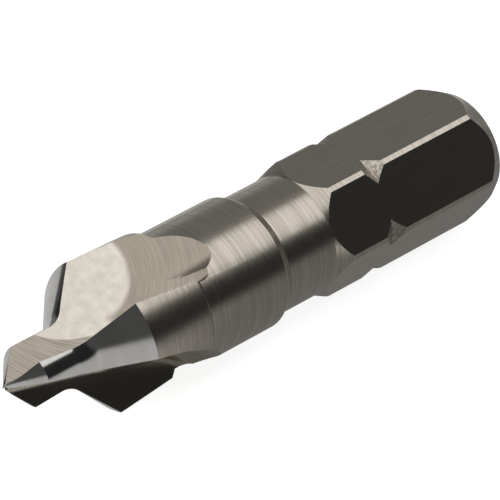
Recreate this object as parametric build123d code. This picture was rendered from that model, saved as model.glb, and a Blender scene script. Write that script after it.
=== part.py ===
"""Three-flute 90 degree countersink bit with a pilot, on a hexagonal quick-change shank.

One piece of tool steel.  Millimetres.  The origin is the centre of the shank's
end face, +X runs along the axis to the cutting tip, and +Z leaves through the
middle of the uppermost hexagon flat and the uppermost flute, so the bit lies
along X.  Angles round the axis start at +Z and grow towards +Y, which is
clockwise as seen from the tip.
"""
from build123d import *
from math import cos, radians, sin, tan
import os

# ---- hexagonal shank -------------------------------------------------------
HEX_ACROSS_FLATS = 6.35        # quarter inch hexagon
SHANK_BAR_D = 7.18             # round bar that truncates the hexagon's corners
END_FACE_D = 5.80              # flat at the rear end
END_TAPER_LENGTH = 1.30
NOTCH_X = 8.25                 # deepest point of the retaining notch
NOTCH_D = 6.62
NOTCH_REAR_FLANK = 0.75
NOTCH_FRONT_FLANK = 0.60
HEX_LENGTH = 11.20             # full corners end here
HEX_RUN_DOWN = 0.80            # cone from the corners down to the neck

# ---- neck and body ---------------------------------------------------------
NECK_D = 6.32
NECK_LENGTH = 3.12
SHOULDER_LENGTH = 0.54
SHOULDER_ROUND = 0.25
BODY_D = 7.00
BODY_LENGTH = 5.44

# ---- cutting head ----------------------------------------------------------
HEAD_D = 7.88                  # largest diameter, at the front of the outer land
BACK_TAPER = 0.13              # loss of radius towards the rear of the outer land
OUTER_LAND_LENGTH = 3.83
REAR_BEVEL_LENGTH = 0.35       # slope from the body up to the rear of the outer land
COUNTERSINK_ANGLE = 90.0
PILOT_D = 3.18
PILOT_LENGTH = 2.47            # from the foot of the cone to the pilot's corner
PILOT_FILLET = 1.50
TIP_ANGLE = 92.0
CONE_RELIEF = 0.20             # eccentricity of the ground lands of the cone
TIP_RELIEF = 0.12              # the same at the tip; the pilot has none
RELIEF_PHASE = 68.0            # how far the eccentric centre lies behind the lip

# ---- flutes ----------------------------------------------------------------
FLUTES = 3
LIP_ANGLE = 38.0               # where the lips lie at the head's largest diameter
FLUTE_V_ANGLE = 88.0           # rake face to flute floor
TIP_WEB = 0.14                 # flute corner to axis at the tip
FLOOR_RISE = 12.2              # slope of the flute corner, rising to the rear
HAND_ANGLE = 3.35              # right-hand slant of the flute corner
RAKE_LEAN = 9.0                # lean of the rake face behind the lip
RUN_OUT_FROM_CONE = 1.35       # the wheels start to lift this far behind the cone
MILLED_CORNER_R = 1.40
MILLING_WHEEL_R = 13.0
FLUTE_REACH = 7.0              # reach of the wheels across and out of the flute, past the bar
WHEEL_LIFT = 45.0              # turn of a wheel's arc that is modelled

# ---- grind of the rake face and floor, which sharpens the milled corner ----
GRIND_ALLOWANCE = 0.03         # left by the milling on both walls
GROUND_CORNER_R = 0.30
GRINDING_WHEEL_R = 8.0

# ---- point gash, which brings the lips in to the axis ----------------------
GASH_FROM_CONE = 0.92          # starts this far in front of the outer land
GASH_CORNER_R = 0.25
GASH_DIP = 0.8                 # extra slope along the flute
GASH_TILT = 1.3                # extra slope across the flute
GASH_WHEEL_R = 4.0
GASH_REACH = 3.0

# ---- stations along the axis, worked out from the lengths above ------------
NECK_X = HEX_LENGTH + HEX_RUN_DOWN
SHOULDER_X = NECK_X + NECK_LENGTH
BODY_X = SHOULDER_X + SHOULDER_LENGTH
LAND_X = BODY_X + BODY_LENGTH
CONE_X = LAND_X + OUTER_LAND_LENGTH
CONE_FOOT_X = CONE_X + (HEAD_D - PILOT_D) / 2 / tan(radians(COUNTERSINK_ANGLE / 2))
PILOT_X = CONE_FOOT_X + PILOT_LENGTH
TIP_X = PILOT_X + PILOT_D / 2 / tan(radians(TIP_ANGLE / 2))


def radial(angle):
    """Unit vector away from the axis at an angle from +Z towards +Y."""
    return Vector(0, sin(radians(angle)), cos(radians(angle)))


def revolved(points, rounds):
    """Turn a closed profile of (x, radius) points about the axis.

    The rounds are pairs of a point and the radius that its corner takes.
    """
    face = make_face(Polyline(*points, close=True))
    for corner, radius in rounds:
        vertex = face.vertices().sort_by_distance(Vector(*corner))[0]
        face = fillet(vertex, radius)
    return revolve(Plane.XZ * face, Axis.X)


def turned_blank():
    """Everything that the lathe makes; the head is left as a plain cylinder to the tip."""
    corner_r = SHANK_BAR_D / 2
    shoulder = (BODY_X, BODY_D / 2)
    points = [
        (0, 0),
        (0, END_FACE_D / 2),
        (END_TAPER_LENGTH, corner_r),
        (NOTCH_X - NOTCH_REAR_FLANK, corner_r),
        (NOTCH_X, NOTCH_D / 2),
        (NOTCH_X + NOTCH_FRONT_FLANK, corner_r),
        (HEX_LENGTH, corner_r),
        (NECK_X, NECK_D / 2),
        (SHOULDER_X, NECK_D / 2),
        shoulder,
        (LAND_X - REAR_BEVEL_LENGTH, BODY_D / 2),
        (LAND_X, HEAD_D / 2 - BACK_TAPER),
        (CONE_X, HEAD_D / 2),
        (TIP_X, HEAD_D / 2),
        (TIP_X, 0),
    ]
    return revolved(points, [(shoulder, SHOULDER_ROUND)])


def hexagon_waste():
    """What milling the six flats removes from the bar, up to the neck."""
    length = NECK_X + NECK_LENGTH / 2
    flats = RegularPolygon(HEX_ACROSS_FLATS / 2, 6, major_radius=False, rotation=0)
    ring = Circle(SHANK_BAR_D) - flats
    return extrude(Plane.YZ * ring, length)


def eccentric_cone(apex_x, point_angle, relief):
    """Cone that opens rearwards, ground about a centre off the axis and behind the lip.

    Its radius is full at the lip and falls away towards the heel.
    """
    slope = tan(radians(point_angle / 2))
    apex = apex_x - relief * cos(radians(RELIEF_PHASE)) / slope
    cone = revolved([(apex, 0), (BODY_X, 0), (BODY_X, (apex - BODY_X) * slope)], [])
    centre = radial(LIP_ANGLE - RELIEF_PHASE) * relief
    return Pos(centre.X, centre.Y, centre.Z) * cone


def ground_front():
    """Countersinking cone, pilot and tip as ground for one of the lands."""
    cone_tip_x = CONE_FOOT_X + PILOT_D / 2 / tan(radians(COUNTERSINK_ANGLE / 2))
    cone = eccentric_cone(cone_tip_x, COUNTERSINK_ANGLE, CONE_RELIEF)
    pilot = extrude(Plane.YZ.offset(CONE_X) * Circle(PILOT_D / 2), TIP_X - CONE_X)
    front = cone + pilot
    rims = front.edges().filter_by(GeomType.LINE, reverse=True)
    foot = rims.filter_by(lambda rim: CONE_X < rim.center().X < PILOT_X)
    return fillet(foot, PILOT_FILLET) & eccentric_cone(TIP_X, TIP_ANGLE, TIP_RELIEF)


def relief_waste():
    """What grinding removes round one land, from the outer land to the tip."""
    sector_sides = [radial(side) * HEAD_D for side in (0, 180 / FLUTES, 360 / FLUTES)]
    corners = [(0, 0)] + [(side.Y, side.Z) for side in sector_sides]
    sector = extrude(Plane.YZ.offset(LAND_X) * make_face(Polyline(*corners, close=True)), TIP_X)
    return sector - ground_front()


def flute_frame(distance_from_tip):
    """Frame on the flute's corner line, a distance behind the tip.

    Its x runs along the flute to the tip, its y up the rake face and its z across
    the flute's floor, away from the lip.
    """
    out, across = radial(LIP_ANGLE), radial(LIP_ANGLE + 90)
    axial = Vector(1, 0, 0)
    along = axial - out * tan(radians(FLOOR_RISE)) - across * tan(radians(HAND_ANGLE))
    origin = axial * TIP_X + out * TIP_WEB - along * distance_from_tip
    rake_wall = radial(LIP_ANGLE - RAKE_LEAN)
    return Plane(origin=origin, x_dir=along, z_dir=along.cross(rake_wall)).location


def wheel_cut(corner_radius, wheel_radius, reach_out, run, floor_tilt):
    """Groove left by a form wheel that feeds towards the tip and lifts off at the rear.

    The floor and the rake face meet in a rounded corner.  The groove runs straight
    along x and leaves in the wheel's own arc behind the origin.
    """
    rise = FLUTE_REACH * tan(radians(90 - FLUTE_V_ANGLE + floor_tilt))
    points = [(0, 0), (reach_out, 0), (reach_out, FLUTE_REACH), (rise, FLUTE_REACH)]
    section = make_face(Polyline(*points, close=True))
    corner = section.vertices().sort_by_distance(Vector(0, 0, 0))[0]
    section = Plane.YZ * fillet(corner, corner_radius)
    lift_axis = Axis((0, wheel_radius, 0), (0, 0, 1))
    return extrude(section, run) + revolve(section, lift_axis, -WHEEL_LIFT)


def flute_cutters():
    """The three cuts that make the flute facing +Z: milled, ground and gashed."""
    run = TIP_X - CONE_X + RUN_OUT_FROM_CONE
    gash_run = TIP_X - CONE_X - GASH_FROM_CONE
    milled = wheel_cut(MILLED_CORNER_R, MILLING_WHEEL_R, FLUTE_REACH, 2 * run, 0)
    ground = wheel_cut(GROUND_CORNER_R, GRINDING_WHEEL_R, FLUTE_REACH, 2 * run, 0)
    gash = wheel_cut(GASH_CORNER_R, GASH_WHEEL_R, GASH_REACH, 2 * gash_run, GASH_TILT)
    infeed = Pos(0, -GRIND_ALLOWANCE, -GRIND_ALLOWANCE)
    return [
        flute_frame(run) * milled,
        flute_frame(run) * infeed * ground,
        flute_frame(gash_run) * infeed * Rot(Z=-GASH_DIP) * gash,
    ]


def countersink_bit():
    """The finished tool."""
    bit = turned_blank() - hexagon_waste()
    waste = flute_cutters() + [relief_waste()]
    for number in range(FLUTES):
        turn = Rot(X=-360 / FLUTES * number)
        for cut in waste:
            bit = bit - turn * cut
    return bit


os.makedirs("parts", exist_ok=True)
export_step(countersink_bit(), "parts/countersink_bit.step")
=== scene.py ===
"""Finishes and studio for a countersink bit: one piece of ground tool steel.

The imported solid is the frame.  Its mesh is merged into one smooth piece, whose
facets are sorted by how the tool was made there: milled flats, turned neck and
body, ground flutes, ground lands and the flanks of the plunged notch.  Metres;
+X runs from the shank's end face to the cutting tip.
"""
from math import atan, atan2, cos, degrees, hypot, pi, radians, sin, sqrt, tan
from typing import NamedTuple

import bmesh
import bpy
from bpy.props import FloatProperty, FloatVectorProperty, PointerProperty
from mathutils import Matrix, Vector


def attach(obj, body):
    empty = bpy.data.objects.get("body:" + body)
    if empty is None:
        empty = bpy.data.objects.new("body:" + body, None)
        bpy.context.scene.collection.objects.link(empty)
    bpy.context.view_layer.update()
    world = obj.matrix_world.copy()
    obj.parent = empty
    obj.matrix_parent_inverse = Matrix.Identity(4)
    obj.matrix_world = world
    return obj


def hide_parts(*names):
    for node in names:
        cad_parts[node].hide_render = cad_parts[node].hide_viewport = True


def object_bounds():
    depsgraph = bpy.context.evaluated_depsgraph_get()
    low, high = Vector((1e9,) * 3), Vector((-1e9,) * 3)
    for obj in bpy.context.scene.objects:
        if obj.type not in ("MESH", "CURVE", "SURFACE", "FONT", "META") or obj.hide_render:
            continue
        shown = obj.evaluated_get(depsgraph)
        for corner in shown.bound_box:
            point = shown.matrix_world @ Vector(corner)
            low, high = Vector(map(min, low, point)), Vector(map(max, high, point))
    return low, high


bl_info = {
    "name": "Countersink bit",
    "version": (1, 0, 0),
    "blender": (4, 5, 0),
    "location": "View3D > Sidebar > Countersink",
    "description": "Steel finishes for a hexagonal shank countersink bit, and the studio round it",
    "category": "Object",
}

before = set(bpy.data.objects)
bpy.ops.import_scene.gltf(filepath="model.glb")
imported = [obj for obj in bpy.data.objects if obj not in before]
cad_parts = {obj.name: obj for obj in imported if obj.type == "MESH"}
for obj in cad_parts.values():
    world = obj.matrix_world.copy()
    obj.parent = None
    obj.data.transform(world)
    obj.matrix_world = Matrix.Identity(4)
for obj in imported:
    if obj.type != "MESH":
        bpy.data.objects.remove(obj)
CAD_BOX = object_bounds()
NODE = "countersink_bit"
MM = 0.001

# ---- the bit's own sizes, millimetres and degrees ----------------------------
TURNED_PROFILE = (              # station along the axis, radius
    (0.0, 2.90), (1.30, 3.59), (7.50, 3.59), (8.25, 3.31), (8.85, 3.59), (11.20, 3.59),
    (12.00, 3.16), (15.12, 3.16), (15.66, 3.50), (20.75, 3.50), (21.10, 3.81), (24.93, 3.94),
)
HALF_FLAT = 3.175
NOTCH_START, NOTCH_END = 7.50, 8.85
SHOULDER_END, FLUTE_START = 16.0, 17.0
CONE_START, CONE_FOOT, TIP_X = 24.93, 27.28, 31.285
PILOT_RADIUS, PILOT_FILLET = 1.59, 1.50
FLUTES = 3
FLUTE_STEP = 360 / FLUTES

LIP_ANGLE = 38.0                # the first flute's lip, from +Z towards +Y
RAKE_LEAN, FLUTE_V_ANGLE = 9.0, 88.0
FLOOR_RISE, HAND_ANGLE, TIP_WEB = 12.2, 3.35, 0.14
GASH_DIP, GASH_TILT = 0.8, 1.3

RELIEF_PHASE = 68.0             # a land's own centre lies this far before its lip
CONE_RELIEF, CONE_APEX, CONE_SLOPE = 0.20, 28.87, 1.0
TIP_RELIEF, TIP_SLOPE = 0.12, tan(radians(46))
LIP_SLACK = 15.0                # a corner this far before a lip still belongs to its land

# ---- the wheels' arcs in a flute, millimetres from its tip -------------------
FLUTE_PLACE = "flute_place"     # the UV map with the way along and across the flute
GRIND_END_CENTRE, GRIND_END_RADIUS = (-6.21, 3.42), 2.73
GRIND_END_FADE = (0.10, -0.25)  # beyond the arc, from the milled part to the ground one
FRONT_FADE = (-0.8, 0.1)        # ahead of the arc's centre the whole flute is ground
GASH_CENTRE, GASH_RADIUS = (-5.81, 4.41), 4.05
GASH_FADE = (-0.03, 0.03)       # beyond the arc
GASH_START = (0.21, 0.81)       # ahead of the arc's centre

# ---- how facets are told apart, millimetres and cosines ----------------------
MERGE_DISTANCE = 0.0004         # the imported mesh's corners closer than this are one
ON_SURFACE = 0.008              # how near a corner lies to the surface that it belongs to
ON_AXIS = 0.001                 # nearer corners have no direction away from the axis
NOTCH_SLACK, CONE_SLACK = 0.05, 0.5
FLAT_LEAN, NOTCH_LEAN = 0.02, 0.15      # a flat leans less than this, the notch's flanks more
SAME_WALL = 0.9995              # a facet's normal against its flute wall's
SAME_SWEEP = 0.9                # against its neighbour's, in one curved cut
FACING_RAKE = 0.8               # against the rake's, for a place across the flute
FILLET_LENGTH, FILLET_TOP = 1.2, 2.8
FILLET_TWIST, FILLET_OUT = 0.2, 0.5     # a fillet turns less round the axis and faces out more


def linear(hex_colour):
    """Linear colour of an sRGB hex value."""
    parts = [int(hex_colour[i:i + 2], 16) / 255 for i in (1, 3, 5)]
    return [c / 12.92 if c <= 0.04045 else ((c + 0.055) / 1.055) ** 2.4 for c in parts]


def steel_colour(name, description, hex_colour):
    """A colour property whose default is an sRGB hex value."""
    return FloatVectorProperty(
        name=name, description=description, default=linear(hex_colour),
        subtype="COLOR", size=3, min=0, max=1,
    )


def millimetres(name, description, default):
    """A size property in millimetres."""
    return FloatProperty(
        name=name, description=description + ", in millimetres", default=default, min=0.0, max=5.0
    )


class SteelFinish(bpy.types.PropertyGroup):
    """Colours and tool marks of the steel."""

    bright: steel_colour("Bright steel", "The turned and the milled steel", "#CBC3B7")
    # The shaded steel is painted shade, the dark in the tool marks' grooves; the marks' roughness
    # and bump are real.
    shaded: steel_colour("Shaded steel", "The bottom of the turning marks", "#8F877C")
    flute: steel_colour("Flute", "The freshly ground flute floors", "#F4ECE0")
    land: steel_colour("Land", "The finely ground lands", "#C9C7C4")
    milled: steel_colour("Milled run-out", "The milled rear of the flutes", "#B5AB9C")
    gash: steel_colour("Point gash", "The pale of the burnt point gash", "#C6BCAF")
    scorched: steel_colour("Scorched", "The brown of the heated grinding lines", "#685C4D")
    # Real tool marks are finer; these are as coarse as a whole view of the bit can show.
    turning_pitch: millimetres("Turning pitch", "Distance between turning marks", 0.09)
    turning_depth: millimetres("Turning depth", "Depth of the turning marks", 0.0050)
    grinding_pitch: millimetres("Grinding pitch", "Distance between grinding lines", 0.07)


class Studio(bpy.types.PropertyGroup):
    """The softbox and the floor."""

    softbox_power: FloatProperty(
        name="Softbox", description="Power of the overhead softbox", default=0.175, min=0,
        unit="POWER",
    )
    softbox_size: FloatProperty(
        name="Softbox width", description="Diameter of the softbox", default=0.253, min=0.01,
        unit="LENGTH",
    )
    floor: steel_colour("Floor", "The pale floor", "#E9E9E9")


def add_node(tree, kind, settings=None, values=None, links=None):
    """Add a node, set its attributes and socket values, and link sockets into it."""
    node = tree.nodes.new(kind)
    for name, value in (settings or {}).items():
        setattr(node, name, value)
    for name, value in (values or {}).items():
        node.inputs[name].default_value = value
    for name, socket in (links or {}).items():
        tree.links.new(socket, node.inputs[name])
    return node


# ---- the bit's own geometry, as the finishes need it -------------------------
class Facet(NamedTuple):
    """What a facet was found to be."""

    finish: str
    kind: str                   # plane, turned, land, fillet or swept: how its normals run
    land: tuple = ()            # a land's own centre and slope


def radial(angle):
    """Unit vector away from the axis at an angle from +Z towards +Y."""
    return Vector((0, sin(radians(angle)), cos(radians(angle))))


def to_first_flute(vector, number):
    """The vector turned about the axis, so that its flute becomes the first one."""
    return Matrix.Rotation(radians(FLUTE_STEP * number), 3, "X") @ vector


def flute_frame():
    """Directions of the first flute, its tip, and the outward normals of its plane walls."""
    out, across, axial = radial(LIP_ANGLE), radial(LIP_ANGLE + 90), Vector((1, 0, 0))
    rise, drift = tan(radians(FLOOR_RISE)), tan(radians(HAND_ANGLE))
    along = (axial - out * rise - across * drift).normalized()
    rake = along.cross(radial(LIP_ANGLE - RAKE_LEAN)).normalized()
    up = rake.cross(along)
    floor = Matrix.Rotation(radians(FLUTE_V_ANGLE - 90), 3, along) @ up
    dipped = Matrix.Rotation(radians(-GASH_DIP), 3, rake) @ up
    gash = Matrix.Rotation(radians(FLUTE_V_ANGLE - 90 - GASH_TILT), 3, along) @ dipped
    tip = axial * TIP_X + out * TIP_WEB
    walls = (("ground_rake", rake), ("ground_flute", floor), ("ground_flute", gash))
    return {"along": along, "rake": rake, "floor": floor, "up": up, "tip": tip, "walls": walls}


def turned_radius(x):
    """Radius of the turned blank at a station along the axis."""
    for (x0, r0), (x1, r1) in zip(TURNED_PROFILE, TURNED_PROFILE[1:]):
        if x0 <= x <= x1:
            return r0 + (r1 - r0) * (x - x0) / (x1 - x0)
    return 0.0


def all_near(points, radius_at, centre=Vector()):
    """Whether every point lies on a surface of revolution round a centre line along x."""
    return all(
        abs(hypot(p.y - centre.y, p.z - centre.z) - radius_at(p.x)) < ON_SURFACE for p in points
    )


def land_axis(points):
    """Centre and slope of the ground land that holds a facet, or nothing."""
    if min(p.x for p in points) < CONE_START - CONE_SLACK:
        return ()
    if all_near(points, lambda x: PILOT_RADIUS):
        return Vector(), 0.0
    for apex, slope, relief in (
        (CONE_APEX, CONE_SLOPE, CONE_RELIEF),
        (TIP_X, TIP_SLOPE, TIP_RELIEF),
    ):
        behind = apex - relief * cos(radians(RELIEF_PHASE)) / slope
        for number in range(FLUTES):
            centre = radial(LIP_ANGLE - RELIEF_PHASE + FLUTE_STEP * number) * relief
            if all_near(points, lambda x: (behind - x) * slope, centre):
                return centre, slope
    return ()


def in_fillet(centre, normal):
    """Whether a facet belongs to the fillet between the cone and the pilot."""
    outward = Vector((0, centre.y, centre.z)).normalized()
    sideways = normal.dot(Vector((1, 0, 0)).cross(outward))
    near_foot = abs(centre.x - CONE_FOOT) < FILLET_LENGTH
    low = hypot(centre.y, centre.z) < FILLET_TOP
    return near_foot and low and abs(sideways) < FILLET_TWIST and normal.dot(outward) > FILLET_OUT


def shank_facet(points, centre, normal):
    """What a facet behind the flutes is."""
    if max(p.x for p in points) < ON_SURFACE:
        return Facet("faced_end", "plane")
    on_flat = all(abs(normal.dot(p) - HALF_FLAT) < ON_SURFACE for p in points)
    if on_flat and abs(normal.x) < FLAT_LEAN:
        return Facet("milled_flat", "plane")
    in_notch = NOTCH_START - NOTCH_SLACK < centre.x < NOTCH_END + NOTCH_SLACK
    if in_notch and abs(normal.x) > NOTCH_LEAN:
        return Facet("plunged_notch", "turned")
    return Facet("turned_steel", "turned")


def sort_facet(points, centre, normal, first):
    """What a facet is, from its place and the way it faces."""
    turned = all_near(points, turned_radius)
    if centre.x < SHOULDER_END or (centre.x < FLUTE_START and turned):
        return shank_facet(points, centre, normal)
    if turned:
        return Facet("turned_steel", "turned")
    land = land_axis(points)
    if land:
        return Facet("ground_land", "land", land)
    wall, closeness = None, SAME_WALL
    for number in range(FLUTES):
        local = to_first_flute(normal, number)
        for finish, direction in first["walls"]:
            if local.dot(direction) > closeness:
                wall, closeness = finish, local.dot(direction)
    if wall:
        return Facet(wall, "plane")
    if in_fillet(centre, normal):
        return Facet("ground_land", "fillet")
    return Facet("ground_flute", "swept")


def middle_angle(points):
    """Angle round the axis, halfway between a facet's outermost corners."""
    middle = sum(points, Vector()) / len(points)
    base = atan2(middle.y, middle.z)
    spread = [
        (atan2(p.y, p.z) - base + pi) % (2 * pi) - pi for p in points if hypot(p.y, p.z) > ON_AXIS
    ]
    return base + (max(spread) + min(spread)) / 2


def turned_normal(normal, points, point):
    """Normal at a facet's corner, as if the facet were part of a surface of revolution."""
    angle = middle_angle(points)
    out, beside = radial(degrees(angle)), radial(degrees(angle) + 90)
    rise, sideways = normal.dot(out), normal.dot(beside)
    if hypot(point.y, point.z) > ON_AXIS:
        angle = atan2(point.y, point.z)
    out, beside = radial(degrees(angle)), radial(degrees(angle) + 90)
    return (Vector((normal.x, 0, 0)) + out * rise + beside * sideways).normalized()


def land_normal(point, centre, slope):
    """Normal on a ground land: a cone, or a cylinder without slope, round its own centre."""
    out = Vector((0, point.y - centre.y, point.z - centre.z)).normalized()
    return (out + Vector((slope, 0, 0))).normalized()


def fillet_normal(point):
    """Normal on the fillet: it points to the middle of the ball that rolls round the pilot.

    Its centre line moves from the pilot's axis to that of the relieved cone.
    """
    radius = hypot(point.y, point.z)
    rise = min((PILOT_RADIUS + PILOT_FILLET - radius) / PILOT_FILLET, 1.0)
    share = min((1 - rise) / (1 - cos(atan(CONE_SLOPE))), 1.0)
    past_lip = degrees(atan2(point.y, point.z)) - LIP_ANGLE
    land = (past_lip + LIP_SLACK) // FLUTE_STEP
    centre = radial(LIP_ANGLE - RELIEF_PHASE + FLUTE_STEP * land) * CONE_RELIEF * share
    out = Vector((0, point.y - centre.y, point.z - centre.z)).normalized()
    return out * rise + Vector((sqrt(1 - rise * rise), 0, 0))


def swept_normal(face, vert, facets):
    """Normal on a wheel's curved cut, smoothed over the facets that go on with it."""
    total = Vector()
    for other in vert.link_faces:
        if other.normal.dot(face.normal) > SAME_SWEEP and facets[other.index].kind != "turned":
            total += other.normal * other.calc_area()
    return total.normalized() if total.length else face.normal.copy()


def corner_normals(bm, facets):
    """One normal for each corner of each facet, smooth where the steel is."""
    normals = []
    for face in bm.faces:
        facet = facets[face.index]
        points = [vert.co / MM for vert in face.verts]
        for vert, point in zip(face.verts, points):
            if facet.kind == "plane":
                normal = face.normal.copy()
            elif facet.kind == "turned":
                normal = turned_normal(face.normal, points, point)
            elif facet.kind == "land":
                normal = land_normal(point, *facet.land)
            elif facet.kind == "fillet":
                normal = fillet_normal(point)
            else:
                normal = swept_normal(face, vert, facets)
            normals.append(normal)
    return normals


def map_flutes(bm, first):
    """Give each corner its place in its own flute, in millimetres along and across."""
    layer = bm.loops.layers.uv.new(FLUTE_PLACE)
    facing = (first["floor"] + first["rake"]).normalized()
    for face in bm.faces:
        number = max(range(FLUTES), key=lambda n: to_first_flute(face.normal, n).dot(facing))
        on_rake = to_first_flute(face.normal, number).dot(first["rake"]) > FACING_RAKE
        side = first["up"] if on_rake else first["rake"]
        for loop in face.loops:
            place = to_first_flute(loop.vert.co / MM, number) - first["tip"]
            loop[layer].uv = (place.dot(first["along"]), place.dot(side))


# ---- materials ---------------------------------------------------------------
SOFT = {"interpolation_type": "SMOOTHSTEP"}
COLOURS = {"data_type": "RGBA"}
SHARE, FIRST, SECOND, MIXED = 0, 6, 7, 2        # a Mix node's sockets for colours
LINE_BAND = (0.40, 0.60)                # noise, from inside a tool mark to the steel beside it
MOTTLE_BAND, MOTTLE_LOW = (0.30, 0.70), 0.74    # noise, and how much it leaves of the pale


class Marks(NamedTuple):
    """Tool marks: fine lines, rougher and sunk, their colour darkened by painted shade or by
    scorch.
    """

    pitch: float                # from line to line, millimetres
    stretch: float              # the lines' length over that; below 1 they run the other way
    depth: float                # millimetres
    share: float                # how much of the dark shows


def from_centre(tree, centre):
    """Distance from the middle of a wheel's arcs, and its parts along and across the flute."""
    place = add_node(tree, "ShaderNodeUVMap", {"uv_map": FLUTE_PLACE})
    way = add_node(
        tree, "ShaderNodeVectorMath", {"operation": "SUBTRACT"},
        {1: (*centre, 0)}, {0: place.outputs["UV"]},
    ).outputs["Vector"]
    distance = add_node(tree, "ShaderNodeVectorMath", {"operation": "LENGTH"}, links={0: way})
    parts = add_node(tree, "ShaderNodeSeparateXYZ", links={"Vector": way})
    return distance.outputs["Value"], parts.outputs["X"], parts.outputs["Y"]


def marks_place(tree, marks, run):
    """Where a point is among the tool marks, and the size of a mark there.

    They run round the axis, along the flute's lip or along the wheel's arcs.
    """
    size = Vector((marks.pitch, marks.pitch * marks.stretch, marks.pitch * marks.stretch))
    if run == "round":
        return add_node(tree, "ShaderNodeTexCoord").outputs["Object"], size * MM
    if run == "lip":
        return add_node(tree, "ShaderNodeUVMap", {"uv_map": FLUTE_PLACE}).outputs["UV"], size.yxx
    distance, ahead, beside = from_centre(tree, GRIND_END_CENTRE)
    angle = add_node(tree, "ShaderNodeMath", {"operation": "ARCTAN2"}, links={0: ahead, 1: beside})
    along_arc = add_node(
        tree, "ShaderNodeMath", {"operation": "MULTIPLY"},
        {1: GRIND_END_RADIUS}, {0: angle.outputs[0]},
    )
    place = add_node(
        tree, "ShaderNodeCombineXYZ", links={"X": distance, "Y": along_arc.outputs[0]}
    )
    return place.outputs["Vector"], size


def marked_steel(name, roughness, marks, run="round"):
    """Steel with tool marks but no colour yet, and the share of the marks' dark colour, painted
    shade or scorch.

    The roughness is a pair, for the pale and the dark.
    """
    material = bpy.data.materials.new(name)
    material.use_nodes = True
    tree = material.node_tree
    shader = tree.nodes["Principled BSDF"]
    shader.inputs["Metallic"].default_value = 1.0
    place, size = marks_place(tree, marks, run)
    lined = add_node(
        tree, "ShaderNodeMapping", {"vector_type": "TEXTURE"}, {"Scale": size}, {"Vector": place}
    )
    lines = add_node(
        tree, "ShaderNodeTexNoise", values={"Scale": 1.0, "Detail": 3.0, "Roughness": 0.5},
        links={"Vector": lined.outputs["Vector"]},
    ).outputs["Fac"]
    dark = add_node(
        tree, "ShaderNodeMapRange", SOFT,
        {"From Min": LINE_BAND[0], "From Max": LINE_BAND[1], "To Min": marks.share, "To Max": 0.0},
        {"Value": lines},
    ).outputs["Result"]
    rough = add_node(
        tree, "ShaderNodeMapRange", values={"To Min": roughness[0], "To Max": roughness[1]},
        links={"Value": dark},
    )
    tree.links.new(rough.outputs["Result"], shader.inputs["Roughness"])
    bump = add_node(
        tree, "ShaderNodeBump", values={"Strength": 1.0, "Distance": marks.depth * MM},
        links={"Height": lines},
    )
    tree.links.new(bump.outputs["Normal"], shader.inputs["Normal"])
    return material, dark


def worked_steel(name, pale, shaded, roughness, marks, run="round"):
    """Steel with tool marks, in two colours: the steel, and painted shade or scorch in the marks.
    """
    material, dark = marked_steel(name, roughness, marks, run)
    tree = material.node_tree
    colour = add_node(
        tree, "ShaderNodeMix", COLOURS,
        {FIRST: (*pale, 1), SECOND: (*shaded, 1)}, {SHARE: dark},
    )
    tree.links.new(colour.outputs[MIXED], tree.nodes["Principled BSDF"].inputs["Base Color"])
    return material


def flat_steel(look):
    """Milled flats of the hexagon: an even satin with faint lines along the bar."""
    marks = Marks(pitch=2.0, stretch=0.05, depth=0.0006, share=0.15)
    return worked_steel("milled_hexagon_steel", look.bright, look.shaded, (0.24, 0.30), marks)


def turned_steel(look):
    """Turned tool steel: fine rings round the axis break the highlight into threads."""
    marks = Marks(pitch=look.turning_pitch, stretch=60, depth=look.turning_depth, share=0.28)
    return worked_steel("turned_tool_steel", look.bright, look.shaded, (0.25, 0.40), marks)


def notch_steel(look):
    """Flanks of the plunged notch: torn, matt and browned by the heat."""
    marks = Marks(pitch=0.12, stretch=1.5, depth=0.006, share=0.5)
    return worked_steel("plunged_notch_steel", look.bright, look.scorched, (0.34, 0.46), marks)


def rake_steel(look):
    """Rake faces: an even fine grind."""
    marks = Marks(pitch=look.grinding_pitch, stretch=20, depth=0.0003, share=0.3)
    return worked_steel("ground_rake_steel", look.bright, look.shaded, (0.18, 0.22), marks, "lip")


def land_steel(look):
    """Finely ground lands: smooth, with a soft edged reflection."""
    marks = Marks(pitch=0.50, stretch=6, depth=0.0002, share=0.12)
    return worked_steel("fine_ground_land_steel", look.land, look.shaded, (0.14, 0.17), marks)


def end_steel(look):
    """Faced end of the bar: plain matt steel."""
    marks = Marks(pitch=0.10, stretch=1, depth=0.0010, share=0.15)
    return worked_steel("faced_end_steel", look.bright, look.shaded, (0.34, 0.40), marks)


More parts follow.
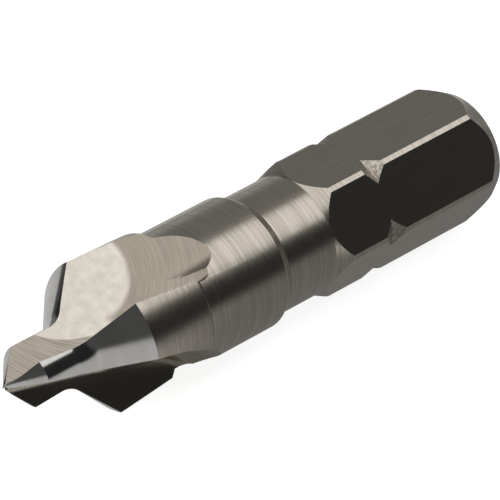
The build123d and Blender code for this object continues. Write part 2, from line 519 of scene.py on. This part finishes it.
def flute_steel(look):
    """Flute floors: a ground front, a milled run-out behind it and the burnt point gash.

    Two of the wheels' arcs part them.  The front is pale and faintly mottled, with
    hardly a line; the others have the wheels' lines across them.
    """
    marks = Marks(pitch=look.grinding_pitch, stretch=20, depth=0.0008, share=0.34)
    material, dark = marked_steel("ground_flute_steel", (0.38, 0.44), marks, "arcs")
    tree = material.node_tree
    place = add_node(tree, "ShaderNodeUVMap", {"uv_map": FLUTE_PLACE})
    patches = add_node(
        tree, "ShaderNodeTexNoise", values={"Scale": 2.0, "Detail": 4.0, "Roughness": 0.5},
        links={"Vector": place.outputs["UV"]},
    )
    grind_distance, grind_ahead, _ = from_centre(tree, GRIND_END_CENTRE)
    gash_distance, gash_ahead, _ = from_centre(tree, GASH_CENTRE)
    zones = {}
    for name, value, radius, (start, end), low in (
        ("mottled", patches.outputs["Fac"], 0, MOTTLE_BAND, MOTTLE_LOW),
        ("front", grind_ahead, 0, FRONT_FADE, 0),
        ("in grind", grind_distance, GRIND_END_RADIUS, GRIND_END_FADE, 0),
        ("past gash arc", gash_distance, GASH_RADIUS, GASH_FADE, 0),
        ("near tip", gash_ahead, 0, GASH_START, 0),
    ):
        zones[name] = add_node(
            tree, "ShaderNodeMapRange", SOFT,
            {"From Min": radius + start, "From Max": radius + end, "To Min": low}, {"Value": value},
        ).outputs["Result"]
    ground = add_node(
        tree, "ShaderNodeMath", {"operation": "MAXIMUM"},
        links={0: zones["front"], 1: zones["in grind"]},
    )
    even = add_node(
        tree, "ShaderNodeMath", {"operation": "MULTIPLY"},
        links={0: ground.outputs[0], 1: zones["mottled"]},
    )
    in_gash = add_node(
        tree, "ShaderNodeMath", {"operation": "MULTIPLY"},
        links={0: zones["past gash arc"], 1: zones["near tip"]},
    )
    milled = add_node(
        tree, "ShaderNodeMix", COLOURS,
        {FIRST: (*look.milled, 1), SECOND: (*look.shaded, 1)}, {SHARE: dark},
    )
    burnt = add_node(
        tree, "ShaderNodeMix", COLOURS,
        {FIRST: (*look.gash, 1), SECOND: (*look.scorched, 1)}, {SHARE: dark},
    )
    front = add_node(
        tree, "ShaderNodeMix", COLOURS, {SECOND: (*look.flute, 1)},
        {SHARE: even.outputs[0], FIRST: milled.outputs[MIXED]},
    )
    colour = add_node(
        tree, "ShaderNodeMix", COLOURS,
        links={
            SHARE: in_gash.outputs[0], FIRST: front.outputs[MIXED], SECOND: burnt.outputs[MIXED],
        },
    )
    tree.links.new(colour.outputs[MIXED], tree.nodes["Principled BSDF"].inputs["Base Color"])
    return material


FINISHES = {
    "milled_flat": flat_steel, "turned_steel": turned_steel, "plunged_notch": notch_steel,
    "ground_flute": flute_steel, "ground_rake": rake_steel, "ground_land": land_steel,
    "faced_end": end_steel,
}


class COUNTERSINK_OT_bit(bpy.types.Operator):
    """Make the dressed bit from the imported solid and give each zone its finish"""

    bl_idname = "countersink.bit"
    bl_label = "Countersink bit"

    def execute(self, context):
        look = context.scene.countersink_steel
        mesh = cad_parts[NODE].data.copy()
        mesh.name = "ground_bit"
        bit = bpy.data.objects.new("ground_bit", mesh)
        context.scene.collection.objects.link(bit)
        bm = bmesh.new()
        bm.from_mesh(mesh)
        bmesh.ops.remove_doubles(bm, verts=bm.verts, dist=MERGE_DISTANCE * MM)
        bm.normal_update()
        bm.faces.index_update()
        first = flute_frame()
        finishes = list(FINISHES)
        facets = []
        for face in bm.faces:
            points = [vert.co / MM for vert in face.verts]
            facet = sort_facet(points, face.calc_center_median() / MM, face.normal, first)
            face.material_index = finishes.index(facet.finish)
            face.smooth = True
            facets.append(facet)
        normals = corner_normals(bm, facets)
        map_flutes(bm, first)
        mesh.materials.clear()
        for make_steel in FINISHES.values():
            mesh.materials.append(make_steel(look))
        bm.to_mesh(mesh)
        bm.free()
        mesh.normals_split_custom_set([tuple(n) for n in normals])
        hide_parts(NODE)
        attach(bit, "root")
        return {"FINISHED"}


# ---- stage, metres and degrees -----------------------------------------------
CAMERA_PLACE = Vector((171.024, 154.642, 143.516)) * MM
CAMERA_RIGHT = Vector((-0.70921, 0.70489, 0.01233))
CAMERA_UP = Vector((-0.37733, -0.39429, 0.83795))
CAMERA_FORWARD = Vector((-0.59552, -0.58963, -0.54561))
CAMERA_LENS, SENSOR = 386.5, 36.0
CLIP_START, CLIP_END = 0.01, 20

BIT_MIDDLE = Vector((0.016, 0, 0))
SOFTBOX_WAY = Vector((-0.60, 0.28, 0.75))
SOFTBOX_DISTANCE = 0.32
BASE_GLOW = 0.025               # the studio's unlit walls
PANELS = (                      # way to the panel, half its width and soft edge, brightness
    ((-0.60, -0.70, 0.40), 34, 12, 0.19),
    ((-0.60, -0.80, -0.20), 8, 30, 0.48),
    ((-0.10, -1.00, -0.25), 8, 14, 0.50),
    ((0.25, 0.05, 0.95), 30, 8, 1.05),
    ((-1.00, 0.00, 0.00), 18, 10, 0.14),
    ((0.75, -0.55, 0.35), 16, 6, 0.70),
    ((0.85, 0.40, 0.35), 15, 25, 0.09),
)

FLOOR_HALF = 1.5
# Where the floor's brightness starts and stops to change, and what it is at either end.
# All but the last are painted light and painted shade that the steel mirrors in place of the lit
# floor.
# Painted light on the floor ahead of the head, and the bit's painted shadow behind it.
PAINTED_POOL = (0.021, 0.030, 0.22, 0.62)       # from the head on
PAINTED_POOL_SLANT = 0.7                        # how far its edge turns back at the sides
# Painted light on the floor beyond the bit, and painted shade far out towards -Y and +Y.
PAINTED_LIGHT_BEHIND = (-0.006, -0.014, 0.0, 0.6)     # on the side away from the camera
PAINTED_SHADE_FAR_SIDE = (-0.075, -0.045, 0.1, 1.0)
PAINTED_SHADE_NEAR_SIDE = (0.008, 0.11, 1.0, 0.15)
SEEN_FLOOR = (0.1, 0.5, 0.86, 1.0)      # away from the bit, to the camera alone


def make_camera(scene):
    """The camera, on a long lens above the bit's cutting end."""
    data = bpy.data.cameras.new("camera")
    data.lens, data.sensor_width = CAMERA_LENS, SENSOR
    data.clip_start, data.clip_end = CLIP_START, CLIP_END
    camera = bpy.data.objects.new("camera", data)
    scene.collection.objects.link(camera)
    turn = Matrix((CAMERA_RIGHT, CAMERA_UP, -CAMERA_FORWARD)).transposed().to_4x4()
    camera.matrix_world = Matrix.Translation(CAMERA_PLACE) @ turn
    scene.camera = camera


def make_softbox(scene, studio):
    """A round softbox above and behind the bit."""
    data = bpy.data.lights.new("softbox", "AREA")
    data.shape, data.size, data.energy = "DISK", studio.softbox_size, studio.softbox_power
    lamp = bpy.data.objects.new("softbox", data)
    scene.collection.objects.link(lamp)
    way = SOFTBOX_WAY.normalized()
    lamp.location = BIT_MIDDLE + way * SOFTBOX_DISTANCE
    lamp.rotation_euler = way.to_track_quat("Z", "Y").to_euler()


def make_world(scene):
    """A dim studio with soft panels round the bit; the camera sees white."""
    world = bpy.data.worlds.new("studio")
    world.use_nodes = True
    scene.world = world
    tree = world.node_tree
    tree.nodes.clear()
    way = add_node(tree, "ShaderNodeTexCoord").outputs["Generated"]
    glow = None
    for towards, half_width, soft_edge, brightness in PANELS:
        facing = add_node(
            tree, "ShaderNodeVectorMath", {"operation": "DOT_PRODUCT"},
            {1: Vector(towards).normalized()}, {0: way},
        )
        outer, inner = cos(radians(half_width + soft_edge)), cos(radians(half_width))
        panel = add_node(
            tree, "ShaderNodeMapRange", SOFT,
            {"From Min": outer, "From Max": inner, "To Max": brightness},
            {"Value": facing.outputs["Value"]},
        )
        brightest = add_node(
            tree, "ShaderNodeMath", {"operation": "MAXIMUM"},
            {0: BASE_GLOW}, {1: panel.outputs["Result"]},
        )
        if glow:
            tree.links.new(glow, brightest.inputs[0])
        glow = brightest.outputs[0]
    path = add_node(tree, "ShaderNodeLightPath")
    seen = add_node(
        tree, "ShaderNodeMath", {"operation": "MAXIMUM"},
        links={0: glow, 1: path.outputs["Is Camera Ray"]},
    )
    sky = add_node(
        tree, "ShaderNodeBackground", values={"Color": (1, 1, 1, 1)},
        links={"Strength": seen.outputs[0]},
    )
    add_node(tree, "ShaderNodeOutputWorld", links={"Surface": sky.outputs[0]})


def floor_with_painted_reflection(studio):
    """A matt pale floor, nearly white to the camera; the steel mirrors a glow of painted light and
    painted shadow in its place.
    """
    material = bpy.data.materials.new("pale_floor_with_painted_reflection")
    material.use_nodes = True
    tree = material.node_tree
    tree.nodes.clear()
    path = add_node(tree, "ShaderNodeLightPath")
    place = add_node(tree, "ShaderNodeTexCoord").outputs["Object"]
    distance = add_node(tree, "ShaderNodeVectorMath", {"operation": "LENGTH"}, links={0: place})
    parts = add_node(tree, "ShaderNodeSeparateXYZ", links={"Vector": place})
    side = add_node(
        tree, "ShaderNodeMath", {"operation": "ABSOLUTE"}, links={0: parts.outputs["Y"]}
    )
    reach = add_node(
        tree, "ShaderNodeMath", {"operation": "MULTIPLY_ADD"},
        {1: PAINTED_POOL_SLANT}, {0: side.outputs[0], 2: parts.outputs["X"]},
    )
    zones = {}
    for name, value, (start, end, low, high) in (
        ("painted_light", reach.outputs[0], PAINTED_POOL),
        ("behind", parts.outputs["Y"], PAINTED_LIGHT_BEHIND),
        ("far side", parts.outputs["Y"], PAINTED_SHADE_FAR_SIDE),
        ("near side", parts.outputs["Y"], PAINTED_SHADE_NEAR_SIDE),
        ("seen", distance.outputs["Value"], SEEN_FLOOR),
    ):
        zones[name] = add_node(
            tree, "ShaderNodeMapRange", SOFT,
            {"From Min": start, "From Max": end, "To Min": low, "To Max": high}, {"Value": value},
        ).outputs["Result"]
    # The floor as the steel mirrors it: a glow of painted light and the bit's painted shadow.
    painted_light = add_node(
        tree, "ShaderNodeMath", {"operation": "MAXIMUM"},
        links={0: zones["painted_light"], 1: zones["behind"]},
    )
    painted_side_shade = add_node(
        tree, "ShaderNodeMath", {"operation": "MULTIPLY"},
        links={0: zones["far side"], 1: zones["near side"]},
    )
    painted_reflection = add_node(
        tree, "ShaderNodeMath", {"operation": "MULTIPLY"},
        links={0: painted_light.outputs[0], 1: painted_side_shade.outputs[0]},
    )
    painted_reflection_glow = add_node(tree, "ShaderNodeEmission", links={"Strength": painted_reflection.outputs[0]})
    white = add_node(
        tree, "ShaderNodeMath", {"operation": "MULTIPLY"},
        links={0: zones["seen"], 1: path.outputs["Is Camera Ray"]},
    )
    glow = add_node(tree, "ShaderNodeEmission", links={"Strength": white.outputs[0]})
    paint = add_node(tree, "ShaderNodeBsdfDiffuse", values={"Color": (*studio.floor, 1)})
    lit = add_node(
        tree, "ShaderNodeAddShader", links={0: glow.outputs[0], 1: paint.outputs[0]}
    )
    # Glossy rays see this painted reflection; all other rays see the lit floor with its real
    # shadow.
    both = add_node(
        tree, "ShaderNodeMixShader",
        links={0: path.outputs["Is Glossy Ray"], 1: lit.outputs[0], 2: painted_reflection_glow.outputs[0]},
    )
    add_node(tree, "ShaderNodeOutputMaterial", links={"Surface": both.outputs[0]})
    return material


def make_floor(scene, studio):
    """The floor, just under the bit."""
    low, half = CAD_BOX[0].z, FLOOR_HALF
    corners = [(-half, -half, low), (half, -half, low), (half, half, low), (-half, half, low)]
    mesh = bpy.data.meshes.new("floor")
    mesh.from_pydata(corners, [], [(0, 1, 2, 3)])
    mesh.materials.append(floor_with_painted_reflection(studio))
    floor = bpy.data.objects.new("floor", mesh)
    scene.collection.objects.link(floor)


class COUNTERSINK_OT_studio(bpy.types.Operator):
    """Make the floor, the softbox, the panels and the camera"""

    bl_idname = "countersink.studio"
    bl_label = "Studio"

    def execute(self, context):
        scene = context.scene
        studio = scene.countersink_studio
        scene.view_settings.view_transform = "Standard"
        make_floor(scene, studio)
        make_softbox(scene, studio)
        make_world(scene)
        make_camera(scene)
        return {"FINISHED"}


class COUNTERSINK_PT_panel(bpy.types.Panel):
    """Countersink bit"""

    bl_label = "Countersink bit"
    bl_idname = "COUNTERSINK_PT_panel"
    bl_space_type = "VIEW_3D"
    bl_region_type = "UI"
    bl_category = "Countersink"

    def draw(self, context):
        column = self.layout.column()
        for settings in (context.scene.countersink_steel, context.scene.countersink_studio):
            for name in settings.__annotations__:
                column.prop(settings, name)
        column.operator(COUNTERSINK_OT_bit.bl_idname)
        column.operator(COUNTERSINK_OT_studio.bl_idname)


CLASSES = (SteelFinish, Studio, COUNTERSINK_OT_bit, COUNTERSINK_OT_studio, COUNTERSINK_PT_panel)


def register():
    for cls in CLASSES:
        bpy.utils.register_class(cls)
    bpy.types.Scene.countersink_steel = PointerProperty(type=SteelFinish)
    bpy.types.Scene.countersink_studio = PointerProperty(type=Studio)


def unregister():
    del bpy.types.Scene.countersink_studio
    del bpy.types.Scene.countersink_steel
    for cls in reversed(CLASSES):
        bpy.utils.unregister_class(cls)


def main():
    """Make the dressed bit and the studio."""
    register()
    bpy.ops.countersink.bit()
    bpy.ops.countersink.studio()


if __name__ == "__main__":
    main()
